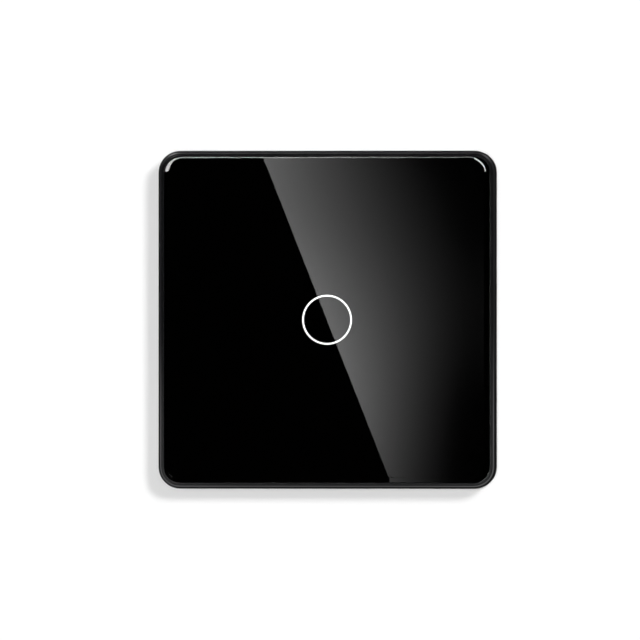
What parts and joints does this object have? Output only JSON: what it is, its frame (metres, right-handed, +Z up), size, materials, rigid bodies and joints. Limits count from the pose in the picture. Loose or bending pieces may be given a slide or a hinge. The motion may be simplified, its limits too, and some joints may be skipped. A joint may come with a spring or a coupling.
{
  "type": "touch light switch",
  "caption": "Square touch light switch: black bevelled glass panel with a ring mark, snapped over a flush wall module with rising-clamp terminals.",
  "frame": {"origin": "middle between the two wall screws, on the wall plane", "axes": "+Z up, +Y into the wall along the wall screws, the glass faces -Y"},
  "size_m": [0.086, 0.0335, 0.086],
  "materials": {
    "clear_glass": "polished toughened glass, clear, 3 mm",
    "black_ink": "opaque black ink, seen through the glass",
    "white_ink": "white translucent ink, lit from behind",
    "foam_tape": "double-sided foam tape",
    "black_plastic": "moulded black polycarbonate, satin gloss",
    "zinc_steel": "zinc-plated steel",
    "spring_steel": "nickel-plated spring steel",
    "white_plastic": "moulded off-white polycarbonate, fine spark texture",
    "green_board": "green solder mask on glass-fibre board",
    "clear_plastic": "translucent diffusing polycarbonate",
    "led_plastic": "phosphor-filled resin",
    "black_chip": "moulded epoxy",
    "tan_board": "paper-phenolic board",
    "blue_plastic": "moulded blue plastic",
    "yellow_plastic": "moulded yellow plastic",
    "can_sleeve": "shrink sleeve on an aluminium can",
    "green_plastic": "moulded green plastic",
    "brass": "plain brass"
  },
  "bodies": {
    "module": {"mounting_frame": "zinc_steel", "retaining_springs": "spring_steel", "spring_rivets": "spring_steel", "front_housing": "white_plastic", "rear_housing": "white_plastic", "housing_screws": "zinc_steel", "touch_board": "green_board", "touch_spring": "spring_steel", "light_guide": "clear_plastic", "ring_leds": "led_plastic", "touch_controller": "black_chip", "board_header": "black_chip", "power_board": "tan_board", "relay": "blue_plastic", "film_capacitor": "yellow_plastic", "electrolytic_capacitors": "can_sleeve", "bridge_rectifier": "black_chip", "surge_disc": "blue_plastic", "fuse_resistor": "green_plastic", "terminal_block": "green_plastic", "contact_tongues": "brass"},
    "front_panel": {"glass_panel": "clear_glass", "printed_mask": "black_ink", "ring_print": "white_ink", "bonding_tape": "foam_tape", "panel_frame": "black_plastic"},
    "screw_1": {"terminal_screw_1": "zinc_steel"},
    "screw_2": {"terminal_screw_2": "zinc_steel"},
    "screw_3": {"terminal_screw_3": "zinc_steel"},
    "clamp_1": {"clamp_cage_1": "brass"},
    "clamp_2": {"clamp_cage_2": "brass"},
    "clamp_3": {"clamp_cage_3": "brass"}
  },
  "joints": [
    {"name": "panel_pull", "type": "slide", "parent": "module", "child": "front_panel", "axis": [0, -1, 0], "range_m": [0, 0.03], "deforming": ["retaining_springs"]},
    {"name": "terminal_screw_1_turn", "type": "hinge", "parent": "module", "child": "screw_1", "pos_m": [-0.0095, 0, -0.0224], "axis": [0, -1, 0], "range_deg": [0, 1800]},
    {"name": "terminal_screw_2_turn", "type": "hinge", "parent": "module", "child": "screw_2", "pos_m": [0, 0, -0.0224], "axis": [0, -1, 0], "range_deg": [0, 1800]},
    {"name": "terminal_screw_3_turn", "type": "hinge", "parent": "module", "child": "screw_3", "pos_m": [0.0095, 0, -0.0224], "axis": [0, -1, 0], "range_deg": [0, 1800]},
    {"name": "clamp_1_rise", "type": "slide", "parent": "module", "child": "clamp_1", "axis": [0, 1, 0], "range_m": [0, 0.0025]},
    {"name": "clamp_2_rise", "type": "slide", "parent": "module", "child": "clamp_2", "axis": [0, 1, 0], "range_m": [0, 0.0025]},
    {"name": "clamp_3_rise", "type": "slide", "parent": "module", "child": "clamp_3", "axis": [0, 1, 0], "range_m": [0, 0.0025]}
  ],
  "couplings": [
    {"joint": "terminal_screw_1_turn", "follows": "clamp_1_rise", "rad_per_m": 12566},
    {"joint": "terminal_screw_2_turn", "follows": "clamp_2_rise", "rad_per_m": 12566},
    {"joint": "terminal_screw_3_turn", "follows": "clamp_3_rise", "rad_per_m": 12566}
  ]
}
